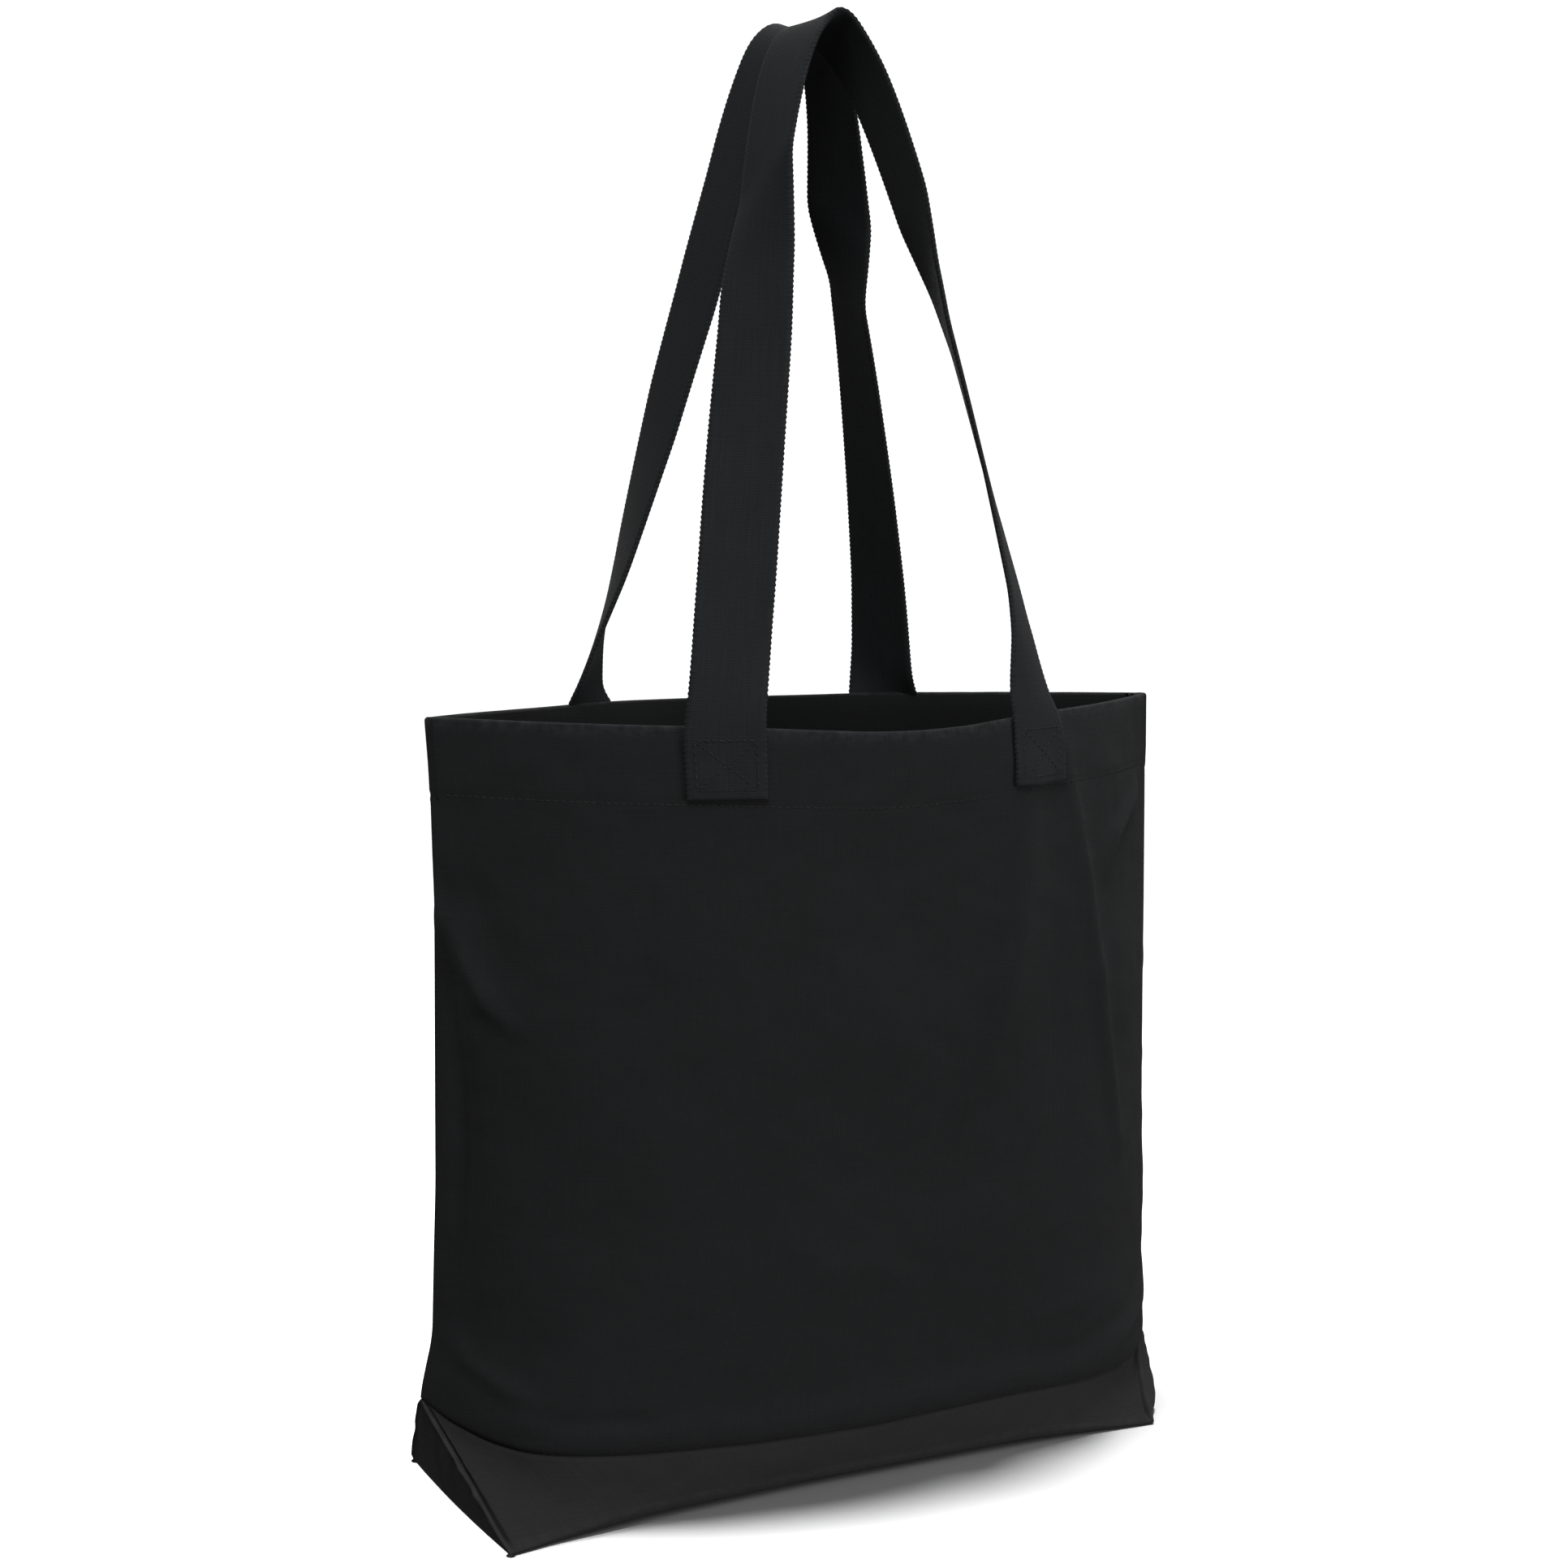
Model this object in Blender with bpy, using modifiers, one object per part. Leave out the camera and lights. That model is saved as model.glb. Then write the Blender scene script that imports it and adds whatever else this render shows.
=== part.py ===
"""Canvas tote bag with a boxed bottom and two webbing handles.

Frame: metres, +Z up, +X to the bag's right seen from its front, the front panel at -Y.
The origin is the middle of the base, on the surface that the bag stands on.
"""

import math

import bpy
from mathutils import Vector

# Bag body
RIM_HEIGHT = 0.338           # floor to the hemmed edge
MOUTH_CHORD = 0.362          # side seam to side seam
MOUTH_OPENING = 0.160        # front to back, at the middle of the open mouth
BASE_DEPTH = 0.112
POINT_OUTREACH = 0.021       # the boxed corners' points stand this far out past the base's ends
CANVAS = 0.0011              # one layer
HEM_DEPTH = 0.034            # the turned-in edge, two layers thick

# Seam between the body panels and the bottom panel
SEAM_HEIGHT_MIDDLE = 0.026
SEAM_HEIGHT_END = 0.047      # at the side seams, the points of the boxed corners
SEAM_GAP = 0.0008            # canvas edge to the middle of the seam

# Handles
WEBBING_WIDTH = 0.032
WEBBING_THICKNESS = 0.0021
HANDLE_SPREAD = 0.151        # between the middles of a handle's two legs, at the rim
HANDLE_DROP = 0.2965         # rim to the top of the loop
HANDLE_ROUNDNESS = 0.304     # how far the straight legs are rounded off into the top
LOOPS_GAP = 0.0021           # between the edges of the two loops at their tops
TAB_GAP = 0.0003             # webbing to canvas
FOLD_GAP = 0.0004            # sewn end to loop, at the fold
CREST_ANGLE = 75.0           # turn of the webbing at the top of the loop, degrees from X

# Thread
THREAD = 0.0007              # diameter of a row of stitches
THREAD_GAP = 0.0003
HEM_STITCH_INSET = 0.0025    # the hem's inner edge to its row of stitches
TAB_TO_STITCH = 0.0015       # lower edge of the webbing's sewn end to the hem's row of stitches
BOX_INSET = 0.004            # webbing edge to its box of stitches
SEAM_INSET = 0.006           # side seam to the row of stitches inside it
CORNER_INSET = 0.004         # base end to the row of stitches inside it

# How finely the surfaces are drawn
MIDDLE_COLUMNS = 24          # between the corners of the base
END_COLUMNS = 5              # from a corner of the base to the side seam
ROWS = 10
HEM_ROWS = 2
BAND_ROWS = 2                # of the bottom panel's wall
LOOP_STEPS = 56

BASE_LENGTH = MOUTH_CHORD - 2 * POINT_OUTREACH
HALF_CHORD = MOUTH_CHORD / 2
HALF_SPREAD = HANDLE_SPREAD / 2
HEM_STITCH_DROP = HEM_DEPTH - HEM_STITCH_INSET
TAB_LENGTH = HEM_STITCH_DROP - TAB_TO_STITCH
HANDLES_APART = WEBBING_WIDTH * math.sin(math.radians(CREST_ANGLE)) + LOOPS_GAP
# Share of a panel's half width at which the base turns its corner
CORNER_SHARE = math.asin(BASE_LENGTH / MOUTH_CHORD) / (math.pi / 2)

COLOURS = {
    "canvas": ((0.0113, 0.0116, 0.0127, 1.0), 0.9),
    "webbing": ((0.0152, 0.0152, 0.0185, 1.0), 0.8),
    "thread": ((0.006, 0.006, 0.007, 1.0), 0.6),
}


def lerp(a, b, t):
    return a + (b - a) * t


def clear_scene():
    for obj in list(bpy.data.objects):
        bpy.data.objects.remove(obj, do_unlink=True)


def collection_named(name):
    collection = bpy.data.collections.new(name)
    bpy.context.scene.collection.children.link(collection)
    return collection


def material_for(node, kind):
    colour, roughness = COLOURS[kind]
    material = bpy.data.materials.new(node + "_" + kind)
    material.use_nodes = True
    shader = material.node_tree.nodes["Principled BSDF"]
    shader.inputs["Base Color"].default_value = colour
    shader.inputs["Roughness"].default_value = roughness
    shader.inputs["Metallic"].default_value = 0.0
    return material


# Shape of the bag

def seam_height(u):
    """Height of the bottom seam at share u of the half width, -1 to 1."""
    return lerp(SEAM_HEIGHT_MIDDLE, SEAM_HEIGHT_END, abs(u) ** 3)


def across(u):
    """Distance from the middle, as a share of the half chord. Columns are closer at the side seams."""
    return math.sin(u * math.pi / 2)


def wall_shape(z):
    """Distance from the middle plane to the wall, and how square the bag's section is, at height z."""
    rise = min(1.0, max(0.0, (z - SEAM_HEIGHT_END) / (RIM_HEIGHT - SEAM_HEIGHT_END)))
    return lerp(BASE_DEPTH, MOUTH_OPENING, rise) / 2, lerp(7.0, 2.0, rise ** 0.7)


def wall_point(u, z, side):
    """The bag's outer skin at share u of the half width and height z; side is -1 in front, 1 behind."""
    depth, squareness = wall_shape(z)
    bulge = 1.0 - abs(across(u)) ** squareness
    return Vector((HALF_CHORD * across(u), side * depth * bulge, z))


def base_point(u, side):
    """The edge of the base, on the floor, below wall_point(u)."""
    half_length = BASE_LENGTH / 2
    if abs(u) <= CORNER_SHARE:
        return Vector((half_length * across(u) / across(CORNER_SHARE), side * BASE_DEPTH / 2, 0.0))
    left = (1.0 - abs(u)) / (1.0 - CORNER_SHARE)
    return Vector((math.copysign(half_length, u), side * left * BASE_DEPTH / 2, 0.0))


def outward(u, z, side):
    """Unit normal of the outer skin, pointing out of the bag."""
    step = 0.002
    along = wall_point(u + step, z, side) - wall_point(u - step, z, side)
    up = wall_point(u, z + step, side) - wall_point(u, z - step, side)
    return along.cross(up).normalized() * -side


def share_at(x):
    """The share u of the half width at which the wall is x from the middle."""
    return math.asin(x / HALF_CHORD) / (math.pi / 2)


def proud_point(x, z, side, distance):
    """A point at distance outside the outer skin, or inside it where distance is negative."""
    u = share_at(x)
    return wall_point(u, z, side) + outward(u, z, side) * distance


# Making objects

def grid_object(name, rows, kind, collection, thickness, offset):
    """An open sheet through rows of points, given its thickness by Solidify."""
    width = len(rows[0])
    points = [point for row in rows for point in row]
    faces = []
    for r in range(len(rows) - 1):
        for c in range(width - 1):
            corner = r * width + c
            faces.append((corner, corner + 1, corner + width + 1, corner + width))
    mesh = bpy.data.meshes.new(name)
    mesh.from_pydata(points, [], faces)
    mesh.materials.append(material_for(name, kind))
    mesh.shade_smooth()
    mesh.set_sharp_from_angle(angle=math.radians(40))
    obj = bpy.data.objects.new(name, mesh)
    collection.objects.link(obj)
    solidify = obj.modifiers.new("Thickness", "SOLIDIFY")
    solidify.thickness = thickness
    solidify.offset = offset
    solidify.use_even_offset = True
    return obj


def cord_object(name, points, closed, collection):
    """A row of stitches as one thin cord through the points."""
    curve = bpy.data.curves.new(name, "CURVE")
    curve.dimensions = "3D"
    curve.bevel_depth = THREAD / 2
    curve.bevel_resolution = 0
    curve.use_fill_caps = True
    spline = curve.splines.new("POLY")
    spline.points.add(len(points) - 1)
    for control, point in zip(spline.points, points):
        control.co = (*point, 1.0)
    spline.use_cyclic_u = closed
    curve.materials.append(material_for(name, "thread"))
    obj = bpy.data.objects.new(name, curve)
    collection.objects.link(obj)
    return obj


def shares(count, limit):
    return [lerp(-limit, limit, i / count) for i in range(count + 1)]


def columns():
    """Shares of the half width at which the canvas is drawn, with one at each corner of the base."""
    end = [lerp(CORNER_SHARE, 1.0, i / END_COLUMNS) for i in range(1, END_COLUMNS + 1)]
    return [-u for u in reversed(end)] + shares(MIDDLE_COLUMNS, CORNER_SHARE) + end


# Canvas

def side_limit(z):
    """Share of the half width at which a body panel ends, so that front and back stay apart at the side seam."""
    depth, squareness = wall_shape(z)
    nearest = (2 * CANVAS * math.sin(math.pi / 4) + SEAM_GAP) / depth
    return math.asin((1.0 - nearest) ** (1.0 / squareness)) / (math.pi / 2)


def panel_row(height_at, side):
    row = []
    for u in columns():
        z = height_at(u)
        row.append(wall_point(u * side_limit(z), z, side))
    return row


def body_panel(name, side, collection):
    hem_start = RIM_HEIGHT - HEM_DEPTH
    rows = []
    for r in range(ROWS + 1):
        t = r / ROWS
        rows.append(panel_row(lambda u: lerp(seam_height(u) + SEAM_GAP, hem_start, t), side))
    for r in range(1, HEM_ROWS + 1):
        z = lerp(hem_start, RIM_HEIGHT, r / HEM_ROWS)
        rows.append(panel_row(lambda u: z, side))
    if side > 0:
        rows.reverse()
    panel = grid_object(name, rows, "canvas", collection, 2 * CANVAS, -1.0)
    hem = panel.vertex_groups.new(name="hem")
    hem.add(range(len(panel.data.vertices)), 0.5, "REPLACE")
    width = len(rows[0])
    hem_vertices = range((ROWS + 1) * width, len(rows) * width)
    if side > 0:
        hem_vertices = range(0, HEM_ROWS * width)
    hem.add(hem_vertices, 1.0, "REPLACE")
    panel.modifiers["Thickness"].vertex_group = "hem"
    return panel


def bottom_panel(name, collection):
    """The base and the wall that rises from it to the seam, all round."""
    ring = [(u, -1) for u in columns()[:-1]] + [(u, 1) for u in reversed(columns()[1:])]
    levels = []
    for r in range(BAND_ROWS + 1):
        level = []
        for u, side in ring:
            top = wall_point(u, seam_height(u) - SEAM_GAP, side)
            level.append(base_point(u, side).lerp(top, r / BAND_ROWS))
        levels.append(level)
    count = len(ring)
    points = [point for level in levels for point in level]
    faces = [tuple(reversed(range(count)))]
    for r in range(BAND_ROWS):
        for c in range(count):
            following = (c + 1) % count
            faces.append((r * count + c, r * count + following,
                          (r + 1) * count + following, (r + 1) * count + c))
    mesh = bpy.data.meshes.new(name)
    mesh.from_pydata(points, [], faces)
    mesh.materials.append(material_for(name, "canvas"))
    mesh.shade_smooth()
    mesh.set_sharp_from_angle(angle=math.radians(30))
    obj = bpy.data.objects.new(name, mesh)
    collection.objects.link(obj)
    solidify = obj.modifiers.new("Thickness", "SOLIDIFY")
    solidify.thickness = CANVAS
    solidify.offset = -1.0
    solidify.use_even_offset = True
    return obj


# Webbing

def rim_angle():
    """Degrees between a leg's webbing and X, where it leaves the rim."""
    u = share_at(HALF_SPREAD)
    normal = outward(u, RIM_HEIGHT - 0.01, -1)
    return math.degrees(math.atan2(normal.x, -normal.y))


def fold_outset():
    """Distance in Y from the middle of the bag to the fold axis, at the webbing's outermost edge."""
    inner_edge = HALF_SPREAD - WEBBING_WIDTH / 2
    edge = proud_point(inner_edge, RIM_HEIGHT, -1, TAB_GAP + WEBBING_THICKNESS)
    return -edge.y + FOLD_GAP


def webbing_end(name, x, side, collection):
    """The sewn end of a handle, flat on the outside of its panel below the rim."""
    rows = []
    half = WEBBING_WIDTH / 2
    for r in range(5):
        z = lerp(RIM_HEIGHT - TAB_LENGTH, RIM_HEIGHT - FOLD_GAP, r / 4)
        rows.append([proud_point(x + half * s, z, side, TAB_GAP) for s in (-1, -0.5, 0, 0.5, 1)])
    if side > 0:
        rows.reverse()
    return grid_object(name, rows, "webbing", collection, WEBBING_THICKNESS, 1.0)


def loop_height(x):
    """Height above the rim of the loop's middle line: straight legs rounded off at the top."""
    slope = math.sqrt(HANDLE_DROP ** 2 + 2 * HANDLE_DROP * HANDLE_ROUNDNESS) / HALF_SPREAD
    return HANDLE_DROP + HANDLE_ROUNDNESS - math.hypot(slope * x, HANDLE_ROUNDNESS)


def loop_line(side):
    """Points an even distance apart along a loop's middle line, from its left leg to its right."""
    leg = proud_point(HALF_SPREAD, RIM_HEIGHT, side, TAB_GAP + WEBBING_THICKNESS / 2)
    fine = []
    count = 600
    for i in range(count + 1):
        x = HALF_SPREAD * math.sin(lerp(-1, 1, i / count) * math.pi / 2)
        height = loop_height(x)
        lean = height / HANDLE_DROP
        fine.append(Vector((x, lerp(leg.y, side * HANDLES_APART / 2, lean), RIM_HEIGHT + height)))
    lengths = [0.0]
    for a, b in zip(fine, fine[1:]):
        lengths.append(lengths[-1] + (b - a).length)
    line = []
    at = 0
    for i in range(LOOP_STEPS + 1):
        target = lengths[-1] * i / LOOP_STEPS
        while lengths[at + 1] < target and at < count - 1:
            at += 1
        part = (target - lengths[at]) / (lengths[at + 1] - lengths[at])
        line.append(fine[at].lerp(fine[at + 1], part))
    return line


def loop_turn(point):
    """Degrees from X to the webbing's width, turning steadily from one rim end over the top to the other."""
    lean = min(1.0, max(0.0, (point.z - RIM_HEIGHT) / HANDLE_DROP))
    ease = lean * (2.0 - lean)
    if point.x <= 0:
        return lerp(rim_angle(), CREST_ANGLE, ease)
    return lerp(180.0 - rim_angle(), CREST_ANGLE, ease)


def handle_loop(name, side, collection):
    """The free loop of a handle. Its origin is on the fold axis, where it leaves the rim."""
    pivot = Vector((0.0, side * fold_outset(), RIM_HEIGHT))
    line = loop_line(side)
    line[0].z += FOLD_GAP
    line[-1].z += FOLD_GAP
    rows = []
    for i, point in enumerate(line):
        along = (line[min(i + 1, LOOP_STEPS)] - line[max(i - 1, 0)]).normalized()
        turn = math.radians(loop_turn(point))
        width = Vector((math.cos(turn), side * math.sin(turn), 0.0))
        width = (width - along * width.dot(along)).normalized()
        if i in (0, LOOP_STEPS):
            width = Vector((math.cos(turn), side * math.sin(turn), 0.0))
        half = width * WEBBING_WIDTH / 2
        rows.append([point + half * s - pivot for s in (-1, 0, 1)])
    loop = grid_object(name, rows, "webbing", collection, WEBBING_THICKNESS, 0.0)
    loop.location = pivot
    return loop


# Thread

def hem_stitching(name, side, collection):
    distance = THREAD_GAP + THREAD / 2
    z = RIM_HEIGHT - HEM_STITCH_DROP
    points = []
    for u in shares(40, 0.97):
        points.append(wall_point(u, z, side) + outward(u, z, side) * distance)
    cord_object(name, points, False, collection)


def box_stitching(name, x, side, collection):
    distance = TAB_GAP + WEBBING_THICKNESS + THREAD_GAP + THREAD / 2
    half = WEBBING_WIDTH / 2 - BOX_INSET
    low = RIM_HEIGHT - TAB_LENGTH + BOX_INSET
    high = RIM_HEIGHT - BOX_INSET
    corners = ((-1, low), (0, low), (1, low), (1, lerp(low, high, 0.5)),
               (1, high), (0, high), (-1, high), (-1, lerp(low, high, 0.5)))
    points = [proud_point(x + half * s, z, side, distance) for s, z in corners]
    cord_object(name, points, True, collection)


def bottom_seam_stitching(name, side, collection):
    """Inside the bag, along the seam between a body panel and the bottom panel."""
    points = []
    for u in shares(36, 0.86):
        z = seam_height(u)
        points.append(wall_point(u, z, side) - outward(u, z + 0.004, side) * (CANVAS + THREAD_GAP + THREAD))
    cord_object(name, points, False, collection)


def side_seam_stitching(name, end, collection):
    """Inside the bag, down the corner between the front and back panels."""
    x = end * (HALF_CHORD - SEAM_INSET)
    low = SEAM_HEIGHT_END + THREAD
    high = RIM_HEIGHT - THREAD
    points = [Vector((x, 0.0, lerp(low, high, i / 8))) for i in range(9)]
    cord_object(name, points, False, collection)


def corner_seam_stitching(name, end, collection):
    """Inside the bag, across the end of the base."""
    x = end * (BASE_LENGTH / 2 - CORNER_INSET)
    half = BASE_DEPTH / 2 - CORNER_INSET
    z = CANVAS + THREAD_GAP + THREAD / 2
    points = [Vector((x, lerp(-half, half, i / 6), z)) for i in range(7)]
    cord_object(name, points, False, collection)


def build():
    clear_scene()
    bag = collection_named("canvas_tote_bag")
    bottom_panel("bottom_panel", bag)
    for name, side in (("front", -1), ("back", 1)):
        body_panel(name + "_panel", side, bag)
        hem_stitching(name + "_hem_stitching", side, bag)
        bottom_seam_stitching(name + "_bottom_seam_stitching", side, bag)
        handle_loop(name + "_handle", side, bag)
        for end_name, end in (("left", -1), ("right", 1)):
            x = end * HALF_SPREAD
            webbing_end(name + "_handle_" + end_name + "_end", x, side, bag)
            box_stitching(name + "_" + end_name + "_box_stitching", x, side, bag)
    for end_name, end in (("left", -1), ("right", 1)):
        side_seam_stitching(end_name + "_side_seam_stitching", end, bag)
        corner_seam_stitching(end_name + "_corner_seam_stitching", end, bag)


build()
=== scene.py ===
"""Looks of the canvas tote bag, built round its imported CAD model.

Each canvas panel and each handle is a new mesh that replaces its CAD nodes. Shapes are worked out
with numpy on the cloth's own coordinates: u is the share of the half width, -1 to 1, z the height.
"""

import math

import bmesh
import bpy
import numpy as np
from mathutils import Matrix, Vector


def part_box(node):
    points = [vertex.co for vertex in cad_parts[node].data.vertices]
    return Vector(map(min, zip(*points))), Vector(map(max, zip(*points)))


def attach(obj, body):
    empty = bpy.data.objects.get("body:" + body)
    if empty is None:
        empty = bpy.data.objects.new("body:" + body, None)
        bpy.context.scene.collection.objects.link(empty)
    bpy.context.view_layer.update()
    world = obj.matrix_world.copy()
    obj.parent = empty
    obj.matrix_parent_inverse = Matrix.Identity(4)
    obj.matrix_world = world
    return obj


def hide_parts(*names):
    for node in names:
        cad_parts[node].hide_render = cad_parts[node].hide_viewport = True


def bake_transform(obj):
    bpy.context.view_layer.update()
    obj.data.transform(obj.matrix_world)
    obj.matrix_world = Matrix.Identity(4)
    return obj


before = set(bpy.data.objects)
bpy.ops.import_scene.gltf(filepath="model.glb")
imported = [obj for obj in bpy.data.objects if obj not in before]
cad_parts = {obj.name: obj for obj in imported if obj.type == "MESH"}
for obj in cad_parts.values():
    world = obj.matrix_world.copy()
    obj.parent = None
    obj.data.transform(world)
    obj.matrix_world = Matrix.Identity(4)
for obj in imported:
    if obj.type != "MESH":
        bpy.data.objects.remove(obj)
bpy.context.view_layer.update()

# Sizes from the frame
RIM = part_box("front_panel")[1].z
HALF_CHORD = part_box("bottom_panel")[1].x
BASE_HALF_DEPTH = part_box("bottom_panel")[1].y
MOUTH_HALF_DEPTH = -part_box("front_panel")[0].y
POINT_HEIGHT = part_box("bottom_panel")[1].z
TAB_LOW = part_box("front_handle_left_end")[0].z
LEG_X = (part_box("front_handle_right_end")[0].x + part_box("front_handle_right_end")[1].x) / 2
HEM_STITCH_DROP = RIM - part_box("front_hem_stitching")[0].z

# Canvas. Lengths are in metres throughout
CANVAS = 0.0011              # how thick it is
HEM_DEPTH = 0.034
SEAM_TURN = 0.0042           # how far the canvas turns in at a seam
FLANGE_STEPS = 5             # columns of the side seam's allowance, inside
FLANGE_STEP = 0.0018
SEAM_HALF_GAP = 0.0006
BASE_SHIFT = -0.009          # the base stands a little to the left of the mouth
PANEL_ROWS = 150
PANEL_HEIGHT = 0.30          # roughly, to count the rows in the hem
BAND_ROWS = 36               # from the bottom seam to the floor
ROUND_ROWS = 8               # round the base's edge
BASE_ROWS = 13               # from the base's edge to its middle
# How far out each side seam stands from the middle, as (height, distance)
LEFT_EDGE = ((0.030, 0.1872), (0.050, 0.1868), (0.060, 0.1846), (0.075, 0.1810), (0.109, 0.1799),
             (0.14, 0.1787), (0.261, 0.1775), (0.315, 0.1790), (0.34, 0.1808))
RIGHT_EDGE = ((0.025, 0.1812), (0.043, 0.1816), (0.077, 0.1808), (0.11, 0.1816), (0.142, 0.1822),
              (0.237, 0.1822), (0.29, 0.1818), (0.34, 0.1815))
# Height of the bottom seam, by the share of the half width
FRONT_SEAM = ((-1, 0.0490), (-0.96, 0.0430), (-0.89, 0.0365), (-0.82, 0.0335), (-0.52, 0.0290),
              (-0.20, 0.0252), (0.05, 0.0243), (0.44, 0.0268), (0.80, 0.0263), (0.88, 0.0278),
              (0.94, 0.0300), (0.97, 0.0330), (1, 0.0400))
BACK_SEAM = ((-1, 0.0490), (-0.93, 0.0400), (-0.85, 0.0340), (-0.60, 0.0285), (-0.2, 0.0255), (0.3, 0.0250),
             (0.7, 0.0270), (0.88, 0.0290), (0.96, 0.0330), (1, 0.0400))
# How far the mouth's edge hangs below the rim, by the share of the half width
FRONT_HANG = ((-1, 0.0002), (-0.7, 0.0022), (-0.42, 0.0036), (-0.03, 0.0076), (0.15, 0.0070),
              (0.42, 0.0024), (0.8, 0.0008), (1, 0.0002))
BACK_HANG = ((-1, 0.0004), (-0.6, 0.0014), (-0.42, 0.0008), (-0.1, 0.0014), (0.2, 0.0014),
             (0.42, 0.0006), (1, 0.0002))
# The base's front and back edges on the floor, as (x, y)
BASE_FRONT = ((-0.1722, -0.0640), (-0.150, -0.0600), (-0.10, -0.0560), (-0.03, -0.0530), (0.06, -0.0530),
              (0.12, -0.0535), (0.1533, -0.0560))
BASE_BACK = ((-0.1700, 0.0592), (-0.10, 0.0560), (0.08, 0.0550), (0.1520, 0.0580))

# Webbing and thread
WEBBING = 0.0327             # how wide it is
WEBBING_THICK = 0.0021
WEBBING_LIFT = 0.0003        # from the canvas to the webbing sewn on it
ROW_STEP = 0.00055           # along the webbing
PICK = 0.0022                # from one turn of the weft at the edge to the next
STITCH = 0.0031              # from one stitch to the next
STITCH_LENGTH = 0.0027
THREAD = 0.00055             # how thick it is


def lerp(a, b, t):
    return a + (b - a) * t


def smooth(t):
    t = np.clip(t, 0.0, 1.0)
    return t * t * (3.0 - 2.0 * t)


def unit(v):
    return v / np.maximum(np.linalg.norm(v, axis=-1, keepdims=True), 1e-12)


def run_along(points):
    """Length of the line through the points, reached at each of them."""
    return np.concatenate([[0], np.cumsum(np.linalg.norm(np.diff(points, axis=0), axis=1))])


def sample(at, run, points):
    """Points where the line has run this far."""
    return np.stack([np.interp(at, run, points[:, k]) for k in range(3)], -1)


# Shape of the cloth

def waves(seed, count, shortest, longest):
    """Directions, phases and strengths of waves with lengths in this range."""
    rng = np.random.default_rng(seed)
    length = np.exp(rng.uniform(math.log(shortest), math.log(longest), count))
    angle = rng.uniform(0, math.pi, count)
    strength = (length / longest) ** 0.8
    strength = strength / math.sqrt((strength ** 2).sum() / 2)
    number = 2 * math.pi / length
    return number * np.cos(angle), number * np.sin(angle), rng.uniform(0, 2 * math.pi, count), strength


def unevenness(x, z, made):
    """A soft unevenness, about -1 to 1, made of these waves."""
    total = 0.0
    for kx, kz, phase, strength in zip(*made):
        total = total + strength * np.sin(kx * x + kz * z + phase)
    return total


BROAD = {-1: waves(11, 14, 0.05, 0.16), 1: waves(23, 14, 0.05, 0.16)}
FINE = {-1: waves(31, 26, 0.012, 0.034), 1: waves(47, 26, 0.012, 0.034)}


def along_line(x, z, points):
    """Distance to a line through the points, and the share of its length reached, for each (x, z)."""
    nearest = np.full(np.shape(x), 1.0)
    share = np.zeros(np.shape(x))
    done = 0.0
    spans = [math.dist(a, b) for a, b in zip(points, points[1:])]
    for (ax, az), (bx, bz), span in zip(points, points[1:], spans):
        t = np.clip(((x - ax) * (bx - ax) + (z - az) * (bz - az)) / span ** 2, 0, 1)
        away = np.hypot(x - lerp(ax, bx, t), z - lerp(az, bz, t))
        closer = away < nearest
        nearest = np.where(closer, away, nearest)
        share = np.where(closer, (done + t * span) / sum(spans), share)
        done += span
    return nearest, share


def fold(x, z, points, height, width):
    """A soft ridge, or a valley where height is negative, which dies away at both ends."""
    away, share = along_line(x, z, points)
    taper = smooth(share / 0.35) * smooth((1 - share) / 0.35)
    crest = 0.65 * np.exp(-(away / width) ** 2) + 0.35 * np.exp(-away / (2.2 * width))
    return height * taper * crest


# Folds in the canvas, as (x, z) along each, height and half width
FRONT_FOLDS = (
    (((-0.180, 0.272), (-0.176, 0.257), (-0.170, 0.238), (-0.162, 0.219), (-0.148, 0.202)), 0.0044, 0.0042),
    (((-0.168, 0.275), (-0.160, 0.245), (-0.148, 0.225)), -0.0016, 0.0065),
    (((0.086, 0.345), (0.096, 0.318), (0.103, 0.285), (0.111, 0.245), (0.119, 0.205), (0.128, 0.165),
      (0.145, 0.100)), 0.0044, 0.0046),
    (((0.114, 0.300), (0.125, 0.245), (0.134, 0.190), (0.150, 0.130)), -0.0018, 0.0085),
    (((0.171, 0.306), (0.158, 0.292), (0.137, 0.277), (0.124, 0.252)), 0.0040, 0.0038),
    (((0.074, 0.350), (0.069, 0.290), (0.065, 0.245), (0.060, 0.205), (0.050, 0.175),
      (0.030, 0.135)), 0.0054, 0.0105),
    (((0.090, 0.330), (0.088, 0.255), (0.090, 0.200), (0.098, 0.140)), -0.0026, 0.0110),
    (((0.026, 0.335), (0.026, 0.260), (0.018, 0.190)), -0.0016, 0.0160),
    (((-0.1765, 0.300), (-0.1740, 0.237), (-0.1715, 0.200), (-0.1710, 0.150), (-0.1730, 0.099),
      (-0.1780, 0.060)), -0.0032, 0.0030),
    (((-0.177, 0.088), (-0.173, 0.069), (-0.163, 0.060), (-0.146, 0.053)), 0.0024, 0.0038),
    (((-0.160, 0.052), (-0.140, 0.046), (-0.115, 0.044), (-0.090, 0.042)), -0.0018, 0.0036),
    (((0.172, 0.072), (0.160, 0.052), (0.145, 0.044), (0.125, 0.039)), 0.0020, 0.0036),
    (((0.060, 0.041), (0.095, 0.040), (0.140, 0.052), (0.165, 0.080)), -0.0012, 0.0042),
    (((-0.060, 0.120), (-0.020, 0.098), (0.030, 0.088)), 0.0013, 0.0090),
    (((0.128, 0.070), (0.100, 0.062), (0.070, 0.060)), 0.0011, 0.0050),
)
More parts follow.
